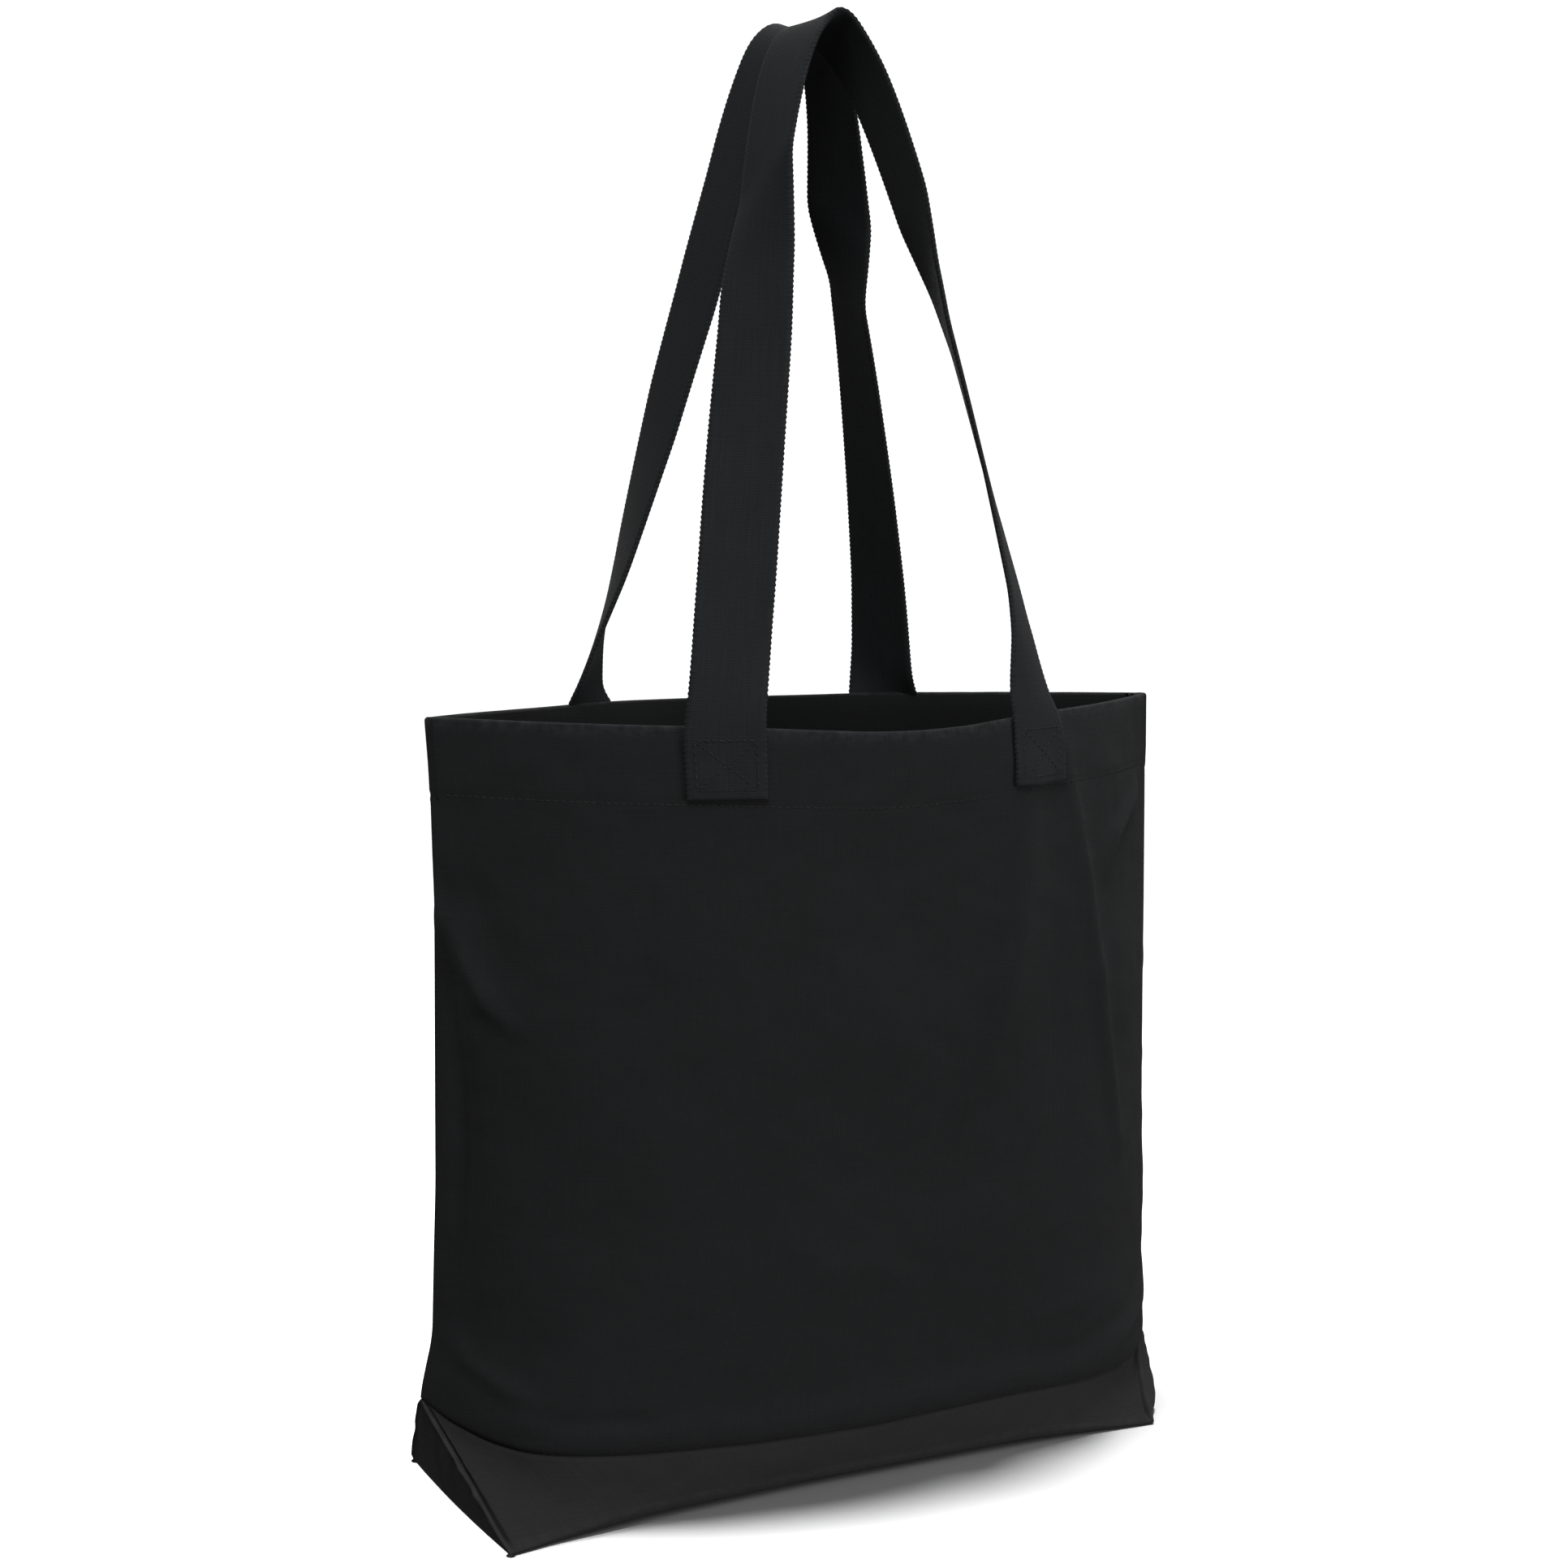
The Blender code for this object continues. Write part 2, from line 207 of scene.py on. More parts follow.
BACK_FOLDS = (
    (((0.178, 0.262), (0.170, 0.236), (0.156, 0.214), (0.138, 0.204)), 0.0028, 0.0045),
    (((-0.176, 0.300), (-0.160, 0.284), (-0.142, 0.262), (-0.132, 0.236)), 0.0026, 0.0048),
    (((-0.100, 0.330), (-0.108, 0.270), (-0.118, 0.200), (-0.136, 0.110)), 0.0028, 0.0070),
    (((-0.030, 0.335), (-0.034, 0.270), (-0.030, 0.200), (-0.018, 0.140)), 0.0026, 0.0150),
    (((0.060, 0.330), (0.064, 0.270), (0.058, 0.210)), -0.0018, 0.0150),
    (((0.176, 0.092), (0.170, 0.068), (0.154, 0.056), (0.128, 0.048)), 0.0022, 0.0040),
    (((-0.174, 0.080), (-0.162, 0.058), (-0.140, 0.047)), 0.0020, 0.0038),
    (((-0.080, 0.046), (-0.020, 0.041), (0.060, 0.043)), -0.0013, 0.0050),
    (((-0.060, 0.110), (0.000, 0.092), (0.050, 0.096)), 0.0014, 0.0100),
    (((0.1738, 0.290), (0.1742, 0.180), (0.1748, 0.060)), -0.0013, 0.0026),
)


def eased(value, table, ease):
    """The table's value, with its corners eased by averaging over this much either side."""
    keys, numbers = zip(*table)
    near = np.asarray(value, float)[..., None] + np.linspace(-1, 1, 9) * ease
    return np.interp(near, keys, numbers).mean(-1)


def rim_height(s, side):
    """Height of the mouth's edge at share s of the half width. It hangs between the handle's legs."""
    return RIM - 0.0004 - eased(s, FRONT_HANG if side < 0 else BACK_HANG, 0.08)


def seam_height(s, side):
    """Height of the bottom seam at share s of the half width."""
    s = np.asarray(s, float)
    return eased(s, FRONT_SEAM if side < 0 else BACK_SEAM, 0.04 * (1 - 0.9 * s[..., None] ** 4))


def plain_wall(u, z, side):
    """The canvas before its folds: a lens at the mouth, nearly a rectangle near the base."""
    s = np.sin(u * math.pi / 2)
    rise = np.clip((z - POINT_HEIGHT) / (RIM - POINT_HEIGHT), 0, 1)
    depth = lerp(BASE_HALF_DEPTH, MOUTH_HALF_DEPTH, rise ** 1.1)
    squareness = lerp(7.0, 2.0, rise ** 0.7)
    reach = np.where(s < 0, eased(z, LEFT_EDGE, 0.006), eased(z, RIGHT_EDGE, 0.006))
    middle = BASE_SHIFT * (1 - smooth(z / 0.10)) * (1 - s ** 2)
    y = side * (depth * (1 - np.abs(s) ** squareness) + SEAM_HALF_GAP)
    return np.stack([reach * s + middle, y, z], -1)


def wall_normal(u, z, side):
    """The way out of the plain wall."""
    step = 1e-3
    across = plain_wall(u + step, z, side) - plain_wall(u - step, z, side)
    up = plain_wall(u, z + step, side) - plain_wall(u, z - step, side)
    return unit(np.cross(across, up)) * -side


def proudness(x, z, s, side):
    """How far the canvas stands out of its plain shape."""
    above_seam = z - seam_height(s, side)
    below_rim = rim_height(s, side) - z
    from_end = 1 - np.abs(s)
    inside = smooth(above_seam / 0.02) * smooth((below_rim + 0.004) / 0.045) * smooth(from_end / 0.05)
    total = 0.0006 * inside * unevenness(x, z, BROAD[side])
    total = total + 0.00016 * smooth(from_end / 0.03) * unevenness(x, z, FINE[side])
    for points, height, width in FRONT_FOLDS if side < 0 else BACK_FOLDS:
        total = total + fold(x, z, points, height, width) * smooth((below_rim + 0.010) / 0.03)
    # The canvas rolls over the bottom seam, less so at the front left, and is drawn in by it
    roll = smooth(from_end / 0.12) * (smooth((s + 0.95) / 0.5) if side < 0 else 1.0)
    total = total + 0.0014 * roll * np.exp(-((above_seam - 0.0085) / 0.0062) ** 2)
    free = smooth(from_end / 0.15)
    total = total - 0.0016 * free * np.clip(1 - above_seam / 0.0032, 0, 1) ** 2
    # Stitching draws the hem in and puckers it
    from_stitches = below_rim - HEM_STITCH_DROP
    pucker = np.sin(2 * math.pi * x / 0.0085 + 2.5 * np.sin(x / 0.021)) * (0.6 + 0.4 * np.sin(x / 0.013))
    total = total - 0.00045 * np.exp(-(from_stitches / 0.0012) ** 2)
    total = total + 0.00020 * pucker * np.exp(-(from_stitches / 0.0050) ** 2)
    total = total + 0.00035 * smooth(-(from_stitches - 0.003) / 0.002)
    return total


def skin(u, z, side):
    """Points on the canvas's outer face, and the way out of it."""
    u, z = np.broadcast_arrays(np.asarray(u, float), np.asarray(z, float))
    plain = plain_wall(u, z, side)
    normal = wall_normal(np.clip(u, -0.985, 0.985), z, side)
    s = np.sin(u * math.pi / 2)
    return plain + normal * proudness(plain[..., 0], z, s, side)[..., None], normal


def share_at(x):
    """The u of a point this far from the middle of the mouth."""
    return np.arcsin(np.clip(np.asarray(x) / HALF_CHORD, -1, 1)) / (math.pi / 2)


# Making meshes

def piece(name, points, faces, material, cloth=None, wear=None, uses=()):
    """A smooth mesh object. cloth holds each point's place in the weave, wear how rubbed it is."""
    mesh = bpy.data.meshes.new(name)
    mesh.from_pydata(np.asarray(points).tolist(), [], faces)
    mesh.shade_smooth()
    mesh.materials.append(material)
    if cloth is not None:
        mesh.attributes.new("cloth", "FLOAT_VECTOR", "POINT").data.foreach_set(
            "vector", np.asarray(cloth, np.float32).ravel())
    if wear is not None:
        mesh.attributes.new("wear", "FLOAT", "POINT").data.foreach_set(
            "value", np.asarray(wear, np.float32).ravel())
    obj = bpy.data.objects.new(name, mesh)
    bpy.context.scene.collection.objects.link(obj)
    if uses:
        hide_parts(*uses)
    return obj


def grid_faces(rows, columns, round_rows=False, round_columns=False, flip=False):
    """Faces between points in rows. Where it goes round, the last row or column joins the first."""
    r = np.arange(rows if round_rows else rows - 1)
    c = np.arange(columns if round_columns else columns - 1)
    r, c = np.meshgrid(r, c, indexing="ij")
    r2, c2 = (r + 1) % rows, (c + 1) % columns
    faces = np.stack([r * columns + c, r * columns + c2, r2 * columns + c2, r2 * columns + c], -1)
    faces = faces.reshape(-1, 4)
    return (faces[:, ::-1] if flip else faces).tolist()


# Canvas panels

def panel_columns():
    """Shares of the half width, closer together towards the side seams."""
    even = np.linspace(-1, 1, 201)
    return np.sign(even) * (1 - (1 - np.abs(even)) ** 1.15)


def body_panel(side, material):
    """A body panel as one closed shell: up its outer face, over the hem, down inside, and back."""
    rows = PANEL_ROWS
    u = panel_columns()
    s = np.sin(u * math.pi / 2)
    low, high = seam_height(s, side) + 0.0002, rim_height(s, side) - CANVAS
    z = lerp(low[None, :], high[None, :], np.linspace(0, 1, rows)[:, None])
    outer, normal = skin(np.broadcast_to(u, z.shape), z, side)
    # The seam allowances turn in at both side seams
    flange = np.arange(1, FLANGE_STEPS + 1) * FLANGE_STEP
    flanges = []
    for column, way in ((0, 1), (-1, -1)):
        inner = np.repeat(outer[:, column, :][:, None, :], FLANGE_STEPS, 1)
        inner[:, :, 0] += way * flange
        inner[:, :, 1] = side * SEAM_HALF_GAP
        flanges.append(inner)
    outer = np.concatenate([flanges[0][:, ::-1], outer, flanges[1]], 1)
    out = np.concatenate([np.repeat(normal[:, :1], FLANGE_STEPS, 1), normal,
                          np.repeat(normal[:, -1:], FLANGE_STEPS, 1)], 1)
    out[:, :FLANGE_STEPS] = out[:, -FLANGE_STEPS:] = (0, -side, 0)
    out = unit(out)

    # The way round the cloth: row, how far inside the outer face, and how far above the row
    profile = [(0, SEAM_TURN, 0.0), (0, SEAM_TURN * 0.5, 0.0)]
    profile += [(r, 0.0, 0.0) for r in range(rows)]
    fold_radius = 1.35 * CANVAS
    for k in range(1, 8):
        a = math.pi * k / 8
        profile.append((rows - 1, fold_radius * (1 - math.cos(a)), CANVAS * 1.2 * math.sin(a)))
    hem_rows = [r for r in range(rows - 1, 0, -4) if (rows - 1 - r) / rows * PANEL_HEIGHT < HEM_DEPTH]
    profile += [(r, 2 * fold_radius, 0.0) for r in hem_rows]
    last = hem_rows[-1]
    profile += [(last - 1, 1.8 * fold_radius, 0.0), (last - 1, CANVAS * 1.1, 0.0)]
    profile += [(r, CANVAS, 0.0) for r in range(last - 3, 3, -3)]
    profile += [(2, CANVAS * 1.4, 0.0), (2, SEAM_TURN, 0.0)]

    # Arc length across the cloth keeps the weave even where the panel turns to its side seams
    across = run_along(outer[rows // 2]) + 0.001 * side
    width = len(across)
    points, cloth, wear = [], [], []
    for row, inward, above in profile:
        ring = outer[row] - out[row] * inward
        ring[:, 2] += above
        points.append(ring)
        cloth.append(np.stack([across, outer[row, :, 2], np.full(width, inward)], -1))
        worn = math.exp(-((rows - 1 - row) / 1.6) ** 2) * (inward < 2.6 * CANVAS)
        wear.append(np.full(width, worn))
    count = len(points)
    faces = grid_faces(count, width, round_rows=True, flip=side > 0)
    left = list(range(0, count * width, width))
    right = list(range(width - 1, count * width, width))
    faces.append(left if side > 0 else left[::-1])
    faces.append(right[::-1] if side > 0 else right)
    name = "front" if side < 0 else "back"
    return piece(name + "_canvas", np.concatenate(points), faces, material, np.concatenate(cloth),
                 np.concatenate(wear), [name + "_panel"])


def clustered(count, power):
    """Shares from 0 to 1, closer together towards both ends."""
    even = np.linspace(-1, 1, count)
    return 0.5 + 0.5 * np.sign(even) * (1 - (1 - np.abs(even)) ** power)


def base_side(side, share):
    """Points along the base's front or back edge on the floor."""
    table = np.array(BASE_FRONT if side < 0 else BASE_BACK)
    x = lerp(table[0, 0], table[-1, 0], share)
    y = eased(x, table, 0.012 * (1 - np.abs(2 * share - 1) ** 4)[:, None])
    return np.stack([x, y, np.zeros_like(x)], -1)


def seam_line(side, share):
    """Points at these shares of the length of the bottom seam, with the way out of the canvas there."""
    u = np.linspace(-1, 1, 801)
    points, out = skin(u, seam_height(np.sin(u * math.pi / 2), side), side)
    run = run_along(points)
    at = share * run[-1]
    out = unit(sample(at, run, out))
    points = sample(at, run, points)
    points[:, 2] -= 0.0003
    return points, out


def band_outline():
    """Once round the bottom panel: its foot on the floor, its top at the seam, the way out of the
    canvas there, the share of its part reached, and which part it is.

    The parts are -1 for the front, 2 the right end, 1 the back and -2 the left end.
    """
    band = clustered(260, 1.8)
    end = clustered(56, 1.5)[1:-1]
    feet, tops, outs, shares, parts = [], [], [], [], []
    for side in (-1, 1):
        share = band if side < 0 else band[::-1]
        top, out = seam_line(side, share)
        feet.append(base_side(side, share))
        tops.append(top)
        outs.append(out)
        shares.append(share)
        parts.append(np.full(len(share), float(side)))
        # The end that follows: the right one after the front, the left one after the back
        way = -side
        corner = np.array([1.0 if side < 0 else 0.0])
        foot = lerp(feet[-1][-1], base_side(-side, corner)[0], end[:, None])
        foot[:, 0] += way * (0.0055 if way > 0 else 0.0015) * np.sin(math.pi * end)
        feet.append(foot)
        tops.append(lerp(top[-1], seam_line(-side, corner)[0][0], end[:, None]))
        outs.append(np.broadcast_to((float(way), 0.0, 0.0), (len(end), 3)))
        shares.append(end)
        parts.append(np.full(len(end), 2.0 * way))
    return tuple(np.concatenate(part) for part in (feet, tops, outs, shares, parts))


def rounded_corners(edge):
    """The base's outline with its corners rounded: all a little, the front right one more."""
    corner = np.array(BASE_FRONT[-1])
    for step in range(60):
        eased_edge = 0.5 * edge + 0.25 * (np.roll(edge, 1, 0) + np.roll(edge, -1, 0))
        near = np.linalg.norm(edge[:, :2] - corner, axis=1)
        weight = np.ones(len(edge)) if step < 3 else np.exp(-(near / 0.012) ** 2)
        edge = lerp(edge, eased_edge, weight[:, None])
    return edge


def bottom_panel(material):
    """The band below the seam, the folded corners at both ends and the base, as one skin."""
    edge, top, out, share, part = band_outline()
    count = len(edge)
    in_band = np.abs(part) < 1.5
    from_corner = np.minimum(share, 1 - share)
    edge = rounded_corners(edge)
    tangent = unit(np.roll(edge, -1, 0) - np.roll(edge, 1, 0))
    way_in = np.stack([-tangent[:, 1], tangent[:, 0], np.zeros(count)], -1)
    out = unit(out * (1.0, 1.0, 0.0) - 0.001 * way_in)
    # The long edges are rounder than the corners, and lift off the floor a little in the middle
    middle = np.where(in_band, smooth(from_corner / 0.25), 0.0)
    radius = lerp(0.0014, 0.0050, middle)[:, None]
    up = np.array([0, 0, 1.0])
    edge = edge + up * (0.0022 * middle * (part == -1) + 0.0008 * middle * (part == 1))[:, None]
    foot = edge + up * radius

    loops = [top - out * SEAM_TURN, top - out * SEAM_TURN * 0.5]
    for k in range(BAND_ROWS):
        v = 1 - k / (BAND_ROWS - 1)
        ring = lerp(foot, top, v)
        wall_out = unit(lerp(-way_in, out, v * 0.7))
        drop = top[:, 2] - ring[:, 2]
        arch = math.sin(math.pi * v)
        # The seam draws the top of the band in
        free = smooth(from_corner / 0.07)
        swell = -0.0015 * free * np.clip(1 - drop / 0.0026, 0, 1) ** 2 * in_band
        swell += 0.0010 * arch * middle
        # The folded edges run from the seam's end to the base's corners, each beside a groove
        away = np.where(in_band, lerp(0.33, 0.37, v), lerp(0.118, 0.0012, v)) * from_corner
        edge_ridge = 0.0010 * np.exp(-(away / 0.0012) ** 2)
        groove = np.where(in_band, -0.0042 * np.exp(-((away - 0.0022) / 0.0010) ** 2), 0.0)
        swell += (edge_ridge + groove) * min(1.0, 5 * arch)
        left_end = (part == -2) * np.sin(math.pi * share)
        swell += 0.0020 * arch * left_end
        rough = unevenness(ring[:, 0] + 0.5 * part, ring[:, 1] * 2 + ring[:, 2], FINE[-1])
        swell += 0.00022 * rough * arch
        ring = ring + wall_out * swell[:, None]
        # The right end puffs out past its front folded edge, which is drawn in
        from_fold = np.where(part == -1, (share - 1) * 0.34, np.where(part == 2, share * 0.114, 1.0))
        drawn_in = -0.0040 * np.exp(-(np.minimum(from_fold, 0) / 0.016) ** 2) * (from_fold < 0.1)
        puff = 0.0094 * smooth(from_fold / 0.010) * smooth((0.114 - from_fold) / 0.06) * (part == 2)
        ring[:, 0] += drawn_in * arch ** 0.8 + puff * max(0.0, math.sin(math.pi * v ** 0.55)) ** 0.8
        loops.append(ring)
    for k in range(1, ROUND_ROWS + 1):
        a = math.pi / 2 * k / ROUND_ROWS
        loops.append(edge + way_in * radius * (1 - math.cos(a)) + up * radius * (1 - math.sin(a)))
    # The base closes in on a line along its middle
    flat = loops[-1]
    spine = flat * 0
    spine[:, 0] = np.clip(flat[:, 0], BASE_SHIFT - 0.11, BASE_SHIFT + 0.11)
    for k in range(1, BASE_ROWS + 1):
        loops.append(lerp(flat, spine, (k / (BASE_ROWS + 1)) ** 1.2))
    points = np.array(loops)
    rows = len(points)
    cloth = np.zeros_like(points)
    cloth[..., 0] = run_along(edge)[None, :]
    cloth[..., 1] = -np.arange(rows)[:, None] * 0.0012
    cloth[-BASE_ROWS:] = points[-BASE_ROWS:]
    # Rubbed along the edge on the floor and along the folded edges
    wear = np.zeros((rows, count))
    floor_row = 2 + BAND_ROWS
    wear[floor_row - 3:floor_row + 4] = 0.25
    near_fold = from_corner * np.where(in_band, 0.35, 0.06)
    wear[2:floor_row] += 0.7 * np.exp(-(near_fold / 0.0016) ** 2)
    faces = grid_faces(rows, count, round_columns=True, flip=True)
    obj = piece("bottom_canvas", points.reshape(-1, 3), faces, material, cloth.reshape(-1, 3), wear.ravel(),
                ["bottom_panel"])
    middle_faces(obj, rows, count)
    thick = obj.modifiers.new("Thickness", "SOLIDIFY")
    thick.thickness = CANVAS
    thick.offset = -1
    return obj


def middle_faces(obj, rows, count):
    """Closes the slot left along the middle of the base, and turns the faces outward."""
    mesh = bmesh.new()
    mesh.from_mesh(obj.data)
    mesh.verts.ensure_lookup_table()
    rim = {mesh.verts[(rows - 1) * count + c] for c in range(count)}
    edges = [e for e in mesh.edges if e.is_boundary and e.verts[0] in rim and e.verts[1] in rim]
    bmesh.ops.holes_fill(mesh, edges=edges, sides=0)
    bmesh.ops.recalc_face_normals(mesh, faces=mesh.faces)
    base = [face for face in mesh.faces if face.calc_center_median().z < 1e-4]
    if sum(face.normal.z * face.calc_area() for face in base) > 0:
        bmesh.ops.reverse_faces(mesh, faces=mesh.faces)
    mesh.to_mesh(obj.data)
    mesh.free()


# Webbing

# The two handles as they stand. Each leg is (height above the rim, how far the middle line stands from
# its even curve in mm, degrees that the webbing is turned from X), and crest gives the last two where
# the legs meet. drop and roundness shape the even curve, and top is how far its crest is from the
# bag's middle. tilt leans the webbing's width. skew is how far a twist's crease climbs from the middle
# to one edge, on each leg.
HANDLES = {
    -1: {
        "drop": 0.2937, "roundness": 0.58, "crest": (-5.2, -71), "tilt": 0.12, "top": 0.0160,
        "skew": (0.0090, 0.0060),
        "left": ((0, 0.3, -20), (0.03, 0.9, -16), (0.06, 1.2, -23), (0.16, 0.5, -44),
                 (0.185, -1.3, -50), (0.225, -2.9, -80), (0.275, -4.6, -75)),
        "right": ((0, -2.6, -158), (0.026, 0.5, -139), (0.045, 1.4, -131), (0.095, 0.4, -124),
                  (0.16, -0.7, -121), (0.185, -1.0, -113), (0.215, -2.0, -94), (0.275, -3.2, -88)),
    },
    1: {
        "drop": 0.2958, "roundness": 0.526, "crest": (0.8, 95), "tilt": 0.31, "top": 0.0166,
        "skew": (0.0100, 0.0050),
        "left": ((0, -5.2, 38), (0.012, -4.9, 52), (0.03, -3.8, 61), (0.065, 0.0, 75), (0.13, 3.7, 93),
                 (0.185, 6.3, 99), (0.225, 6.0, 98), (0.275, 3.3, 102)),
        "right": ((0, 0.4, 140), (0.01, 0.4, 123), (0.05, 0.8, 113), (0.095, -0.6, 105), (0.16, -3.5, 93),
                  (0.185, -5.3, 89), (0.218, -5.2, 123), (0.25, -1.5, 110), (0.275, 1.6, 104)),
    },
}
CREST_HEIGHT = 0.30          # above the rim, where both legs share one turn
TAB_BOTTOM = TAB_LOW - 0.0036


def webbing_line(side):
    """The middle line of a handle's free loop, and the x that each point has on the even curve."""
    shape = HANDLES[side]
    x = LEG_X * np.sin(np.linspace(-1, 1, 1601) * math.pi / 2)
    drop, roundness = shape["drop"], shape["roundness"]
    slope = math.sqrt(drop ** 2 + 2 * drop * roundness) / LEG_X
    height = drop + roundness - np.hypot(slope * x, roundness)
    lean = np.clip(height / drop, 0, 1)
    off = np.zeros_like(x)
    for leg, chosen in (("left", x < 0), ("right", x >= 0)):
        heights, offsets, _ = zip(*shape[leg])
        table = np.interp(height, heights + (drop,), offsets + (shape["crest"][0],))
        off = np.where(chosen, table / 1000, off)
    share = share_at(LEG_X)
    leg_point, out = skin(share, rim_height(np.sin(share * math.pi / 2), side), side)
    leg_y = leg_point[1] + out[1] * (WEBBING_THICK / 2 + WEBBING_LIFT)
    line = np.stack([x + off, lerp(leg_y, side * shape["top"], lean), RIM + height], -1)
    return ease_rows(line, 50, 24), x


def ease_rows(rows, reach, width):
    """Rows of points averaged along their run."""
    kernel = np.exp(-(np.arange(-reach, reach + 1) / width) ** 2)
    kernel /= kernel.sum()
    flat = rows.reshape(len(rows), -1)
    padded = np.pad(flat, ((reach, reach), (0, 0)), mode="reflect", reflect_type="odd")
    made = np.stack([np.convolve(padded[:, k], kernel, "valid") for k in range(flat.shape[1])], -1)
    return made.reshape(rows.shape)


def turn_at(height, leg, crest):
    """Degrees that a leg of webbing is turned at this height, eased over 9 mm."""
    heights, _, degrees = zip(*leg)
    near = height[..., None] + np.linspace(-0.0045, 0.0045, 7)
    return np.interp(near, heights + (CREST_HEIGHT,), degrees + (crest,)).mean(-1)


def webbing_surface(side):
    """The middle surface of a whole handle, from one sewn end to the other, and its columns' places."""
    shape = HANDLES[side]
    loop, x = webbing_line(side)
    across = np.linspace(-1, 1, 17)
    across = np.sign(across) * (1 - (1 - np.abs(across)) ** 1.3)
    span = run_along(loop)
    rows = int(span[-1] / ROW_STEP)
    at = np.linspace(0, span[-1], rows)
    line = sample(at, span, loop)
    x_line = np.interp(at, span, x)
    tangent = unit(np.gradient(line, axis=0))
    up = np.maximum(line[:, 2] - RIM, 0)
    depth = np.array([0, math.cos(shape["tilt"]), math.sin(shape["tilt"]) * side])
    sheet = np.zeros((rows, len(across), 3))
    for k, t in enumerate(across):
        crest = shape["crest"][1]
        left = turn_at(up - shape["skew"][0] * t, shape["left"], crest)
        right = turn_at(up - shape["skew"][1] * t, shape["right"], crest)
        turn = np.where(x_line < 0, left, right)
        # Near the top both legs share one turn
        turn = np.radians(lerp(crest, turn, smooth(np.abs(x_line) / 0.012)))[:, None]
        width = np.cos(turn) * np.array([1.0, 0, 0]) + np.sin(turn) * depth
        width = unit(width - tangent * (width * tangent).sum(-1, keepdims=True))
        sheet[:, k] = line + width * (t * WEBBING / 2)

    tabs = []
    z_leg = line[0, 2] - RIM + float(rim_height(LEG_X / HALF_CHORD, side))
    tab_rows = int((z_leg - TAB_BOTTOM) / ROW_STEP)
    for end in (-1, 1):
        z = np.linspace(TAB_BOTTOM, z_leg, tab_rows, endpoint=False)
        # The width runs inwards from the left leg and from the right one alike
        x_tab = end * LEG_X - end * across * WEBBING / 2
        points, out = skin(share_at(x_tab)[None, :], z[:, None], side)
        tabs.append(points + out * (WEBBING_THICK / 2 + WEBBING_LIFT))
    return soften_rows(np.concatenate([tabs[0], sheet, tabs[1][::-1]], 0), tab_rows), across


def soften_rows(sheet, tab_rows):
    """Eases the bend at the rim, where the sewn end becomes the free loop."""
    softened = ease_rows(sheet, 30, 13.0)
    row = np.arange(len(sheet))
    from_end = np.minimum(row, len(sheet) - 1 - row)
    # From 26 rows below the rim to 60 above it, coming in over 20 rows
    weight = smooth((from_end - tab_rows + 26) / 20) * smooth((tab_rows + 60 - from_end) / 20)
    return lerp(sheet, softened, weight[:, None, None])


def handle(side, material):
    """A whole handle, as a closed skin round its middle surface."""
    sheet, across = webbing_surface(side)
    rows, width = sheet.shape[:2]
    normal = unit(np.cross(np.gradient(sheet, axis=1), np.gradient(sheet, axis=0)))
    run = run_along(sheet[:, width // 2])
    weft = np.sin(2 * math.pi * run / PICK)[:, None]
    outward = np.abs(across)
    # The weft turns back at each edge, and leaves it knobbly
    edge = unit(sheet[:, -1] - sheet[:, 0])
    knob = 0.00022 * weft * (outward > 0.9)[None, :] * np.sign(across)
    sheet = sheet + edge[:, None, :] * knob[..., None]
    # The edges are rounded, and the cut ends pressed thin
    half = WEBBING_THICK / 2 * np.sqrt(np.clip(1 - (np.clip(outward - 0.94, 0, 1) / 0.0606) ** 2, 0.02, 1))
    from_end = np.minimum(np.arange(rows), rows - 1 - np.arange(rows))
    half = half[None, :] * lerp(0.35, 1.0, smooth((from_end + 1) / 3))[:, None]
    ribs = 0.00001 * weft * np.ones(width)[None, :]
    face = sheet + normal * (half + ribs)[..., None]
    back = sheet - normal * (half + ribs)[..., None]
    loop = np.concatenate([face, back[:, ::-1]], 1)
    around = loop.shape[1]
    faces = grid_faces(rows, around, round_columns=True)
    faces.append(list(range(around))[::-1])
    faces.append(list(range((rows - 1) * around, rows * around)))
    t = np.concatenate([across, across[::-1] + 10])
    cloth = np.stack(np.broadcast_arrays(t[None, :] * WEBBING / 2, run[:, None], 0.0), -1)
    rubbed = (np.concatenate([outward, outward[::-1]]) > 0.93)[None, :] * 0.6
    wear = np.broadcast_to(rubbed, (rows, around))
    name = "front_handle" if side < 0 else "back_handle"
    return piece(name + "_webbing", loop.reshape(-1, 3), faces, material, cloth.reshape(-1, 3), wear.ravel(),
                 [name, name + "_left_end", name + "_right_end"])


# Thread

def evenly(points, normals, step):
    """Middles, directions and normals of stitches one step apart along a line."""
    span = run_along(points)
    count = max(2, round(span[-1] / step))
    at = (np.arange(count) + 0.5) * span[-1] / count
    ahead = sample(np.minimum(at + 5e-4, span[-1]), span, points)
    behind = sample(np.maximum(at - 5e-4, 0), span, points)
    return sample(at, span, points), unit(ahead - behind), unit(sample(at, span, normals))


